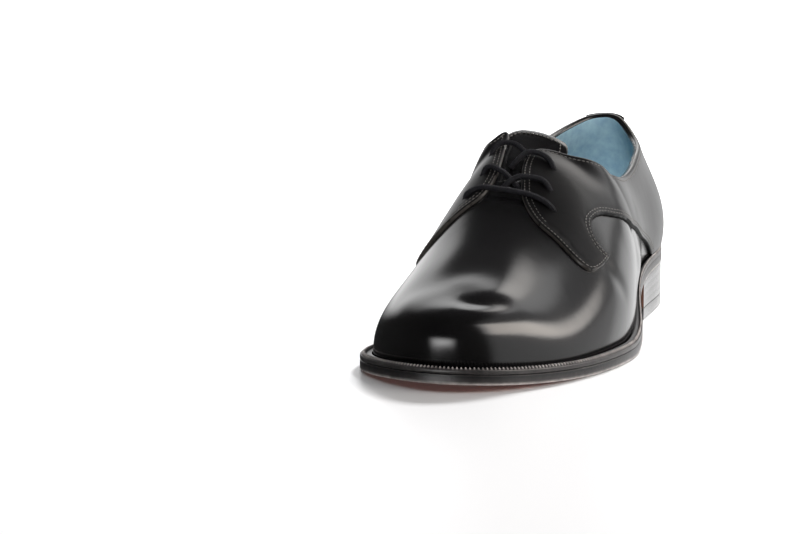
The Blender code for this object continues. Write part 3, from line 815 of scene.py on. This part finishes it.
def make_upper():
    plan, tris = fine_plan(upper_line(), UPPER_CELL, (0.6, 1.4), [hole(s, v) for s, v in EYELETS])
    rims = both_sides(collar_line) + both_sides(slit_line)
    top = edge_distance(plan, rims)
    low = -WALL + THIN_INSIDE * (1 - rounded(top, 1.1))
    high = -THIN_OUTSIDE * (1 - rounded(top, 0.8))
    points, faces, side, used = sheet(plan, tris, low, high)
    rim = nearest(plan * PLAN, np.concatenate(rims) * PLAN)[used]
    share = np.abs(tidy(plan)[0])[used]
    looks = []
    for face, where in zip(map(list, faces), side):
        if where or rim[face].max() < TURNED_IN:
            looks.append(0)
        else:
            looks.append(2 if share[face].mean() > VAMP_LINING_FROM else 1)
    add_piece("upper_skin", points, faces, (CALF, LINING, VAMP_LINING), ("upper",), looks)


# Cell of the plans of quarters, backstay and tongue.
FINE_CELL = 1.8
# Depth of a stitch's middle under the face it lies in.
STITCH_SET = 0.1
# Stitch rows of a quarter: distances from its edges, and share up where the facing's second row starts.
SWEEP_ROWS = (1.5, 3.1)
FACING_ROW = 3.5
FACING_ROW_FROM = 0.66
COLLAR_ROW = 2.6
# Quarter: heights of its underside and face, share left at its edges, and width of the bare edges, which on
# the facing and collar carry a painted highlight.
QUARTER_FOOT = 0.05
QUARTER_TOP = 1.7
QUARTER_EDGE = 0.16
BARE_EDGE = 0.55


def sunk(distance, row, depth=0.16, half=0.45):
    """Trough that a stitch row presses into the leather."""
    return depth * np.exp(-((distance - row) / half) ** 2)


def quarter_height(plan, sweep, facing, collar):
    """Height of a quarter's face: rounded edges and sunk stitch rows."""
    front = edge_distance(plan, [sweep, facing])
    top = edge_distance(plan, [collar])
    round_off = np.minimum(rounded(front, 0.9), rounded(top, 1.3))
    body = QUARTER_TOP * (QUARTER_EDGE + (1 - QUARTER_EDGE) * round_off)
    for row in SWEEP_ROWS:
        body = body - sunk(front, row)
    return body - sunk(top, COLLAR_ROW, half=0.5)


def make_quarter(side, name):
    loop = quarter_line(side)
    holes = [hole(s, v) for s, v in EYELETS if s * side > 0]
    plan, tris = fine_plan(loop, FINE_CELL, (0.4, 0.9, 1.5, 2.3, 3.1, 4.0), holes)
    sweep, facing, collar = quarter_edges(side)
    high = quarter_height(plan, sweep, facing, collar)
    points, faces, _, used = sheet(plan, tris, QUARTER_FOOT, high)
    raw = np.tile(edge_distance(plan, [sweep])[used], 2)
    # Facing and collar edges get the paler finish: cut-edge tone with a painted highlight.
    edge_tone_and_highlight_distance = np.tile(edge_distance(plan, [facing, collar])[used], 2)
    looks = []
    for face in map(list, faces):
        looks.append(1 if raw[face].max() < BARE_EDGE else 2 if edge_tone_and_highlight_distance[face].max() < BARE_EDGE else 0)
    add_piece(name + "_skin", points, faces, (CALF_SOFT, CUT, EDGE_TONE_AND_HIGHLIGHT), (name,), looks)
    rows = (
        (np.concatenate([sweep[:-1], facing]), SWEEP_ROWS[0]), (sweep, SWEEP_ROWS[1]),
        (facing[facing[:, 1] > FACING_ROW_FROM], FACING_ROW), (collar, COLLAR_ROW))
    add_stitches(name, [inset_line(*row, loop) for row in rows], QUARTER_TOP - STITCH_SET)


# Backstay: heights of its underside, its edge and its face over the upper, and its stitch rows.
BACKSTAY_FOOT = 1.62
BACKSTAY_EDGE = 1.8
BACKSTAY_TOP = 2.8
BACKSTAY_ROW = 1.5


def make_backstay():
    loop = backstay_line()
    plan, tris = fine_plan(loop, FINE_CELL, (0.4, 0.9, 1.5, 2.3))
    edges = [edge[edge[:, 1] < 0.99] for edge in map(backstay_edge, SIDES)]
    rim = edge_distance(plan, edges)
    top = edge_distance(plan, both_sides(collar_line))
    rise = (BACKSTAY_TOP - BACKSTAY_EDGE) * np.minimum(rounded(rim, 0.8), rounded(top, 1.1))
    high = BACKSTAY_EDGE + rise - sunk(rim, BACKSTAY_ROW, 0.14)
    points, faces, _, _ = sheet(plan, tris, BACKSTAY_FOOT, high)
    add_piece("backstay_skin", points, faces, (CALF,), ("backstay",))
    lines = [inset_line(edge, BACKSTAY_ROW, loop) for edge in edges]
    add_stitches("backstay", lines, BACKSTAY_TOP - STITCH_SET)


# Tongue: height of its face, thickness, reach of its rounded rim.
TONGUE_FACE = -WALL - GAP
TONGUE_WALL = 1.6
TONGUE_ROUND = 0.9
# Stitch row of the tongue: share of the edge it follows, distance from it, height, thickness.
TONGUE_ROW_SHARE = 0.55
TONGUE_ROW = 4.6
TONGUE_ROW_HEIGHT = TONGUE_FACE + 0.22
TONGUE_THREAD = 0.34


def make_tongue():
    halves = [fine_plan(tongue_half(side), FINE_CELL, (0.5, 1.1)) for side in SIDES]
    plan = np.concatenate([h[0] for h in halves])
    tris = np.concatenate([halves[0][1], halves[1][1] + len(halves[0][0])])
    fall = 1 - rounded(edge_distance(plan, [tongue_line(side) for side in SIDES]), TONGUE_ROUND)
    low = TONGUE_FACE - TONGUE_WALL + 0.5 * fall
    points, faces, where, _ = sheet(plan, tris, low, TONGUE_FACE - 0.7 * fall)
    add_piece("tongue_skin", points, faces, (CALF, LINING), ("tongue",), where == 0)
    lines = []
    for side in SIDES:
        edge = tongue_line(side)
        top = edge[: int(TONGUE_ROW_SHARE * len(edge))]
        lines.append(inset_line(top, TONGUE_ROW, tongue_half(side)))
    add_stitches("tongue", lines, TONGUE_ROW_HEIGHT, TONGUE_THREAD)


def ring_loop(margin, count):
    """Shares evenly spaced round an outline of the sole, and its whole run."""
    fine = np.linspace(0, 2, 6001)
    run = chords(offset_outline(fine, margin(fine)))
    return np.interp(np.linspace(0, run[-1], count, endpoint=False), run, fine), run[-1]


def with_height(plan, height):
    return np.concatenate([plan, height[:, None]], -1)


CAP_CELL = 5.0


def cap(ring, height, flip):
    """Filled ring at a height that follows the station: points and faces."""
    loop = ring[:, :2]
    grid = grid_over(loop, CAP_CELL, CAP_CELL).reshape(-1, 2)
    grid = grid[(nearest(grid, loop) > 0.5 * CAP_CELL) & inside(grid, loop)]
    flat, tris = filled([loop], grid, 1e-5)
    return with_height(flat, height(flat[:, 1])), tris[:, ::-1] if flip else tris


# Marks of faces that close a solid below and above. Faces round its side are marked by their place.
BELOW = -1
ABOVE = -2


def lofted(rings, wear, low, high):
    """Closed solid through rings of points, filled below and above: points, faces, marks of faces, and pale
    wear mark (on the sole edge also a painted highlight).
    """
    count = len(rings[0])
    side = np.concatenate(rings)
    below = cap(rings[0], low, True)
    above = cap(rings[-1], high, False)
    points, faces = joined([(side, bands(len(rings), count)), below, above])
    marks = list(range(count)) * (len(rings) - 1) + [BELOW] * len(below[1]) + [ABOVE] * len(above[1])
    worn = np.concatenate([np.repeat(wear, count), np.zeros(len(points) - len(side))])
    return points, faces, np.array(marks), worn


def sole_solid(margin, count, profile):
    """Solid in an outline of the sole. Rows up its edge: inset, face, height over it, pale mark (rub wear,
    and on the outsole's edge also a painted highlight).
    """
    s, _ = ring_loop(margin, count)
    rings = []
    for inset, face, rise, _ in profile:
        plan = offset_outline(s, margin(s) - inset)
        rings.append(with_height(plan, face(plan[:, 1]) + rise))
    return lofted(rings, [row[3] for row in profile], profile[0][1], profile[-1][1])


def make_outsole():
    # The pale line along the bottom edge of the sole is a painted highlight over some rub wear.
    points, faces, marks, worn = sole_solid(sole_margin, 900, (
        (1.6, sole_bottom, 0, 0), (0.55, sole_bottom, 0.05, 0.8), (0.14, sole_bottom, 0.3, 1.9),
        (0, sole_bottom, 0.75, 0.8), (0, sole_bottom, 1.5, 0.1), (0, sole_top, -0.9, 0),
        (0.05, sole_top, -0.3, 0.1), (0.4, sole_top, 0, 0), (1.6, sole_top, 0, 0)))
    add_piece("outsole_skin", points, faces, (EDGE, SOLE), ("outsole",), marks == BELOW, wear=worn)


def insole_margin(s):
    return np.full_like(s, -WALL - 2 * GAP)


def insole_top(station):
    return seat(station) + INSOLE


def make_insole():
    points, faces, _, worn = sole_solid(insole_margin, 420, (
        (0.4, seat, 0, 0), (0, seat, 0.4, 0), (0, insole_top, -0.8, 0),
        (0.3, insole_top, -0.2, 0), (1.0, insole_top, 0, 0)))
    add_piece("insole_sock", points, faces, (SOCK,), ("insole",), wear=worn)


def welt_inner(s):
    """Clearance of the welt from the feather line, past the flare of the upper."""
    flare = np.radians(RIB_AT(np.mod(s, 2))[..., 0])
    return np.tan(flare) * (WELT + GAP) + 2 * GAP


# Wheeled beads of the welt: distance between them, points across one, and how peaked they are.
WHEEL_PITCH = 1.95
BEAD_POINTS = 8
BEAD_PEAK = 1.1
# Section of the welt: share across from the edge, height, height of the beads, pale of the edge and of the
# beads: rub wear with a painted highlight on the lip and the bead tops.
WELT_SECTION = (
    (1.0, 0.05, 0, 0, 0), (0.06, 0.05, 0, 0, 0), (0, 0.4, 0, 0.1, 0),
    (0, 1.65, 0, 0.08, 0), (0.015, 2.0, 0, 0.18, 0), (0.05, 2.2, 0, 0.05, 0),
    (0.13, 2.1, 0, 0, 0), (0.17, 1.9, 0.7, 0, 1.8), (0.26, 1.9, 1.35, 0, 2.0),
    (0.42, 1.9, 1.35, 0, 0.4), (0.54, 1.9, 0.5, 0, 0), (0.6, 1.85, 0, 0, 0),
    (0.8, 2.05, 0, 0, 0), (1.0, 2.35, 0, 0, 0))


def make_welt():
    _, run = ring_loop(sole_margin, 100)
    count = int(round(run / WHEEL_PITCH)) * BEAD_POINTS
    s, _ = ring_loop(sole_margin, count)
    wave = (0.5 + 0.5 * np.cos(2 * np.pi * np.arange(count) / BEAD_POINTS)) ** BEAD_PEAK
    width = sole_margin(s) - welt_inner(s)
    rings = []
    wear = []
    # Pale colour on the welt's lip and bead tops: painted highlight, with some rub wear.
    for share, rise, bead, edge_wear_and_highlight, bead_wear_and_highlight in WELT_SECTION:
        plan = offset_outline(s, sole_margin(s) - share * width)
        rings.append(with_height(plan, sole_top(plan[:, 1]) + rise + bead * wave))
        wear.append(edge_wear_and_highlight + bead_wear_and_highlight * wave ** 2)
    faces = bands(len(rings), count, closed=True)
    points = np.concatenate(rings)
    add_piece("welt_skin", points, faces, (EDGE,), ("welt",), smooth=60.0, wear=np.concatenate(wear))


BACK_POINTS = 300
BREAST_POINTS = 70


def heel_loop():
    """Plan of the heel, round the back and across the breast, and which steps cross the breast."""
    s = np.linspace(-0.5, 0.5, 2401)
    plan = offset_outline(s, sole_margin(s) - GAP)
    back = plan[plan[:, 1] <= HEEL_BREAST]
    run = chords(back)
    back = points_at(back, run, np.linspace(0, run[-1], BACK_POINTS))
    back[[0, -1], 1] = HEEL_BREAST
    share = np.linspace(0, 1, BREAST_POINTS)[1:-1, None]
    loop = np.concatenate([back, back[-1] + (back[0] - back[-1]) * share])
    crosses = np.arange(len(loop)) >= BACK_POINTS - 1
    crosses[-1] = False
    return loop, crosses


# Heel: height of its foot, gap under the outsole, number of lifts, half height and depth of a groove.
HEEL_FOOT = TOP_PIECE + 0.08
HEEL_CLEARANCE = 0.05
LIFTS = 4
GROOVE_HALF = 0.035
LIFT_GROOVE = 0.06
# Edge of the top piece: inset, height, wear.
TOP_PIECE_EDGE = (
    (0.6, 0, 0), (0.15, 0.12, 0.8), (0, 0.55, 0.3), (0, 5.1, 0), (0.1, 5.45, 0),
    (0.5, TOP_PIECE, 0))


def heel_edge():
    """Edge of the stacked heel: inset, share of its height, wear."""
    rows = [(0.5, 0, 0), (0.12, 0.012, 0.2)]
    for lift in range(LIFTS):
        stop = (lift + 1) / LIFTS
        rows += [(0, lift / LIFTS + GROOVE_HALF, 0.1), (0, stop - GROOVE_HALF, 0)]
        if lift < LIFTS - 1:
            rows.append((LIFT_GROOVE, stop, 0))
    return rows + [(0.15, 0.99, 0), (0.6, 1.0, 0)]


def make_heel():
    """Stacked heel with a bare breast, and its top piece with a polished side."""
    loop, crosses = heel_loop()

    def at_height(height):
        return lambda station: np.full_like(station, height)

    def under_sole(station):
        return sole_bottom(station) - HEEL_CLEARANCE

    def solid(edge, low, high):
        bottom = low(loop[:, 1])
        depth = high(loop[:, 1]) - bottom
        rings = []
        for inset, share, _ in edge:
            rings.append(with_height(edge_rows(loop, [inset])[0], bottom + depth * share))
        points, faces, marks, worn = lofted(rings, [row[2] for row in edge], low, high)
        return points, faces, marks >= 0, crosses[marks], worn

    points, faces, round_it, breast, worn = solid(heel_edge(), at_height(HEEL_FOOT), under_sole)
    add_piece("heel_stack", points, faces, (STACK, BREAST), ("heel",), round_it & breast, wear=worn)
    edge = [(inset, height / TOP_PIECE, wear) for inset, height, wear in TOP_PIECE_EDGE]
    points, faces, round_it, breast, worn = solid(edge, at_height(0.0), at_height(TOP_PIECE))
    add_piece("heel_top_rubber", points, faces, (RUBBER, STACK), ("heel_top_piece",),
              round_it & ~breast, wear=worn)


# Lace strands: share along (inner side negative), share up, height over the upper.
STRANDS = {
    "lace_bar": ((
        (-0.69, 0.69, -2.6), (-0.684, 0.714, 0.9), (-0.689, 0.744, 2.9), (-0.703, 0.839, 3.1),
        (-0.724, 0.925, 3.0), (0.731, 0.943, 3.0), (0.716, 0.836, 3.2), (0.704, 0.754, 3.1),
        (0.698, 0.69, 2.9), (0.694, 0.656, 0.9), (0.692, 0.632, -2.6)),),
    "lace_cross_low": (
        ((-0.661, 0.796, -2.6), (-0.661, 0.824, 0.9), (-0.66, 0.852, 2.9), (-0.668, 0.892, 3.0),
         (-0.682, 0.936, 2.6), (0.7, 0.985, 1.6), (0.705, 0.932, 0.6), (0.703, 0.872, -1.2)),
        ((0.671, 0.7, -2.6), (0.671, 0.724, 0.9), (0.67, 0.754, 2.9), (0.672, 0.79, 3.2),
         (0.683, 0.843, 3.3), (0.695, 0.9, 3.4), (0.709, 0.942, 2.8), (0.722, 0.98, 1.2),
         (-0.724, 0.95, -1.2))),
    "lace_cross_high": (
        ((-0.613, 0.812, -2.6), (-0.613, 0.84, 0.9), (-0.609, 0.868, 2.9), (-0.612, 0.905, 3.1),
         (-0.621, 0.948, 2.9), (0.632, 0.985, 2.2), (0.634, 0.94, 1.0), (0.636, 0.895, -1.2)),
        ((0.63, 0.734, -2.6), (0.63, 0.759, 0.9), (0.626, 0.787, 2.9), (0.624, 0.816, 3.2),
         (0.627, 0.855, 3.3), (0.637, 0.9, 3.4), (0.65, 0.932, 2.6), (0.664, 0.958, 1.0),
         (0.676, 0.99, -1.4))),
}
LACE_RADIUS = 1.25
LACE_STEP = 0.35
PLAIT_TWIST = 2.6


def cord(line, sides=16, plait=0.13):
    """Round lace with a faint plait along a line."""
    ahead = unit(np.gradient(line, axis=0))
    across = np.cross(ahead[0], (0.3, 0.2, 1.0))
    turn = np.linspace(0, 2 * np.pi, sides, endpoint=False)
    points = []
    for p, a, t in zip(line, ahead, chords(line)):
        across = unit(across - a * (across @ a))
        above = np.cross(a, across)
        wave = np.cos(3 * turn + t * PLAIT_TWIST) * np.cos(3 * turn - t * PLAIT_TWIST)
        size = (LACE_RADIUS * (1 + plait * wave))[:, None]
        points += list(p + (np.cos(turn)[:, None] * across + np.sin(turn)[:, None] * above) * size)
    return points, tube_faces(len(line), sides)


def eased(line, rounds=3):
    """Line with its corners cut, which never swings past its points."""
    for _ in range(rounds):
        near = 0.75 * line[:-1] + 0.25 * line[1:]
        far = 0.25 * line[:-1] + 0.75 * line[1:]
        line = np.concatenate([line[:1], np.stack([near, far], 1).reshape(-1, 3), line[-1:]])
    return line


def make_laces():
    for name, strands in STRANDS.items():
        groups = []
        for strand in strands:
            s, v, height = np.array(strand).T
            place = eased(last(s, v) + last_normal(s, v) * height[:, None])
            run = chords(place)
            at = np.linspace(0, run[-1], int(run[-1] / LACE_STEP))
            groups.append(cord(points_at(place, run, at)))
        points, faces = joined(groups)
        add_piece(name + "_cord", points, faces, (LACE,), (name,))


WHITE = (1.0, 1.0, 1.0, 1.0)
WARM = (1.0, 0.93, 0.86, 1.0)
# Floor: half of its side in metres, drop under the sole, finish.
FLOOR_HALF = 14.0
FLOOR_DROP = 0.0002
FLOOR_LOOK = {
    "Base Color": (0.86, 0.86, 0.87, 1.0), "Roughness": 0.35, "Emission Color": WHITE,
    "Emission Strength": 0.02}


def make_floor():
    """Pale floor, which the polish does not mirror."""
    mesh = bpy.data.meshes.new("floor")
    corners = [(x * FLOOR_HALF, y * FLOOR_HALF, 0) for x, y in ((-1, -1), (1, -1), (1, 1), (-1, 1))]
    mesh.from_pydata(corners, [], [(0, 1, 2, 3)])
    paper = bpy.data.materials.new("floor")
    paper.use_nodes = True
    for key, value in FLOOR_LOOK.items():
        paper.node_tree.nodes["Principled BSDF"].inputs[key].default_value = value
    mesh.materials.append(paper)
    obj = add_object("floor", mesh)
    obj.location.z = -FLOOR_DROP
    obj.visible_glossy = False


def turned(obj, place, way):
    """Lamp or camera put in its place and turned along a direction."""
    obj.location = place
    obj.rotation_mode = "QUATERNION"
    obj.rotation_quaternion = Vector(way).to_track_quat("-Z", "Y")


# Soft boxes: name, place, what it faces, side, spread in degrees, power.
LIGHTS = (
    ("back", (0.15, 1.1, 1.1), (0.15, 1.1, 0.0), 0.4, 180.0, 50.0),
    ("snoot", (0.3, -1.3, 1.1), (0.0, 0.12, 0.07), 0.25, 6.0, 0.08),
)


def make_lights():
    for name, place, aim, side, spread, power in LIGHTS:
        data = bpy.data.lights.new(name, "AREA")
        data.size = side
        data.spread = np.radians(spread)
        data.energy = power
        obj = add_object(name, data)
        obj.visible_glossy = False
        turned(obj, place, Vector(aim) - Vector(place))


UP = (0.0, 0.0, 1.0)

# What the studio shows to the polish: strength, warmth, and limits (direction, where dark, where lit).
BACKDROP = (1.5, 0, (
    ((0.545, 0.839, 0), -0.08, 0.36), ((0.998, 0.07, 0), 0.1, -0.14),
    ((-0.21, 0, 1.0), 0.8, 0.65), ((0.6, 0, 1.0), -0.38, -0.2)))
BACKDROP_HIGH = (1.35, 0, (
    ((0.993, 0.122, 0), -0.14, 0.1), ((0.719, -0.695, 0), 0.06, -0.1), (UP, 0.22, 0.45),
    ((-0.21, 0, 1.0), 0.8, 0.65)))
BACKDROP_CORNER = (2.6, 0.5, (((0.145, 0.746, 0.649), 0.962, 0.998),))
WINDOW = (6.0, 1.0, (
    ((0.669, -0.743, 0), -0.05, 0.16), ((-0.375, -0.927, 0), 0.2, -0.2), (UP, 0.14, 0.26),
    ((0, 0.377, 1.0), 0.69, 0.56)))
FLOOR_BACK = (1.15, 0, (
    ((0.985, 0.17, 0), -0.1, 0.15), ((0.766, -0.643, 0), 0.12, -0.18), (UP, 0.3, 0.08)))
FLOOR_RIGHT = (0.75, 0, (
    ((0.819, -0.574, 0), -0.12, 0.12), ((-0.423, -0.906, 0), 0.15, -0.15), (UP, 0.25, 0.08)))
RIGHT_WALL = (0.4, 0, (
    ((0.966, -0.259, 0), -0.1, 0.15), ((-0.375, -0.927, 0), 0.15, -0.15), (UP, 0.95, 0.75)))
FLOOR_LEFT = (6.0, 0, (((-0.37, -0.93, 0), 0.76, 0.98), (UP, -0.02, -0.27), (UP, -0.44, -0.28)))
STUDIO = (
    BACKDROP, BACKDROP_HIGH, WINDOW, FLOOR_BACK, FLOOR_RIGHT, RIGHT_WALL, FLOOR_LEFT, BACKDROP_CORNER)
ROOM = 0.03
# Soft light that falls on matt surfaces from above.
OVERHEAD = 0.62
OVERHEAD_LIMIT = (UP, 0.5, 0.85)


def make_world():
    """White studio: bright sweep behind, window and lit floor to the right, dim room in front."""
    world = bpy.data.worlds.new("studio")
    world.use_nodes = True
    tree = world.node_tree
    place = node(tree, "ShaderNodeTexCoord").outputs["Generated"]

    def limit(way, dark, lit):
        along = node(tree, "ShaderNodeVectorMath", {0: place, 1: way}, operation="DOT_PRODUCT")
        inputs = {"Value": along.outputs["Value"], "From Min": dark, "From Max": lit}
        return node(tree, "ShaderNodeMapRange", inputs, interpolation_type="SMOOTHSTEP").outputs["Result"]

    def times(a, b):
        return math(tree, "MULTIPLY", a, b)

    total = ROOM
    glow = 0.0
    for strength, warmth, limits in STUDIO:
        share = 1.0
        for row in limits:
            share = times(share, limit(*row))
        total = math(tree, "MAXIMUM", total, times(share, strength))
        glow = math(tree, "MAXIMUM", glow, times(share, warmth))
    seen = node(tree, "ShaderNodeLightPath").outputs
    overhead = times(limit(*OVERHEAD_LIMIT), OVERHEAD)
    fallen = mix(tree, seen["Is Diffuse Ray"], total, overhead, "FLOAT")
    back = tree.nodes["Background"].inputs
    tree.links.new(mix(tree, seen["Is Camera Ray"], fallen, 1.0, "FLOAT"), back["Strength"])
    tree.links.new(mix(tree, glow, WHITE, WARM), back["Color"])
    bpy.context.scene.world = world


CAMERA_PLACE = (0.39536, -1.49247, 0.2717)
CAMERA_AIM = (-0.29305, 0.94378, -0.15299)
CAMERA_LENS = 150.19
CAMERA_SENSOR = 36.0


def make_camera():
    data = bpy.data.cameras.new("camera")
    data.sensor_width = CAMERA_SENSOR
    data.lens = CAMERA_LENS
    data.clip_start = 0.05
    data.clip_end = 60.0
    obj = add_object("camera", data)
    turned(obj, CAMERA_PLACE, CAMERA_AIM)
    bpy.context.scene.camera = obj


make_upper()
make_quarter(1, "quarter_outer")
make_quarter(-1, "quarter_inner")
make_backstay()
make_tongue()
make_outsole()
make_insole()
make_welt()
make_heel()
make_laces()
make_floor()
make_lights()
make_world()
make_camera()
bpy.context.scene.view_settings.view_transform = "Standard"
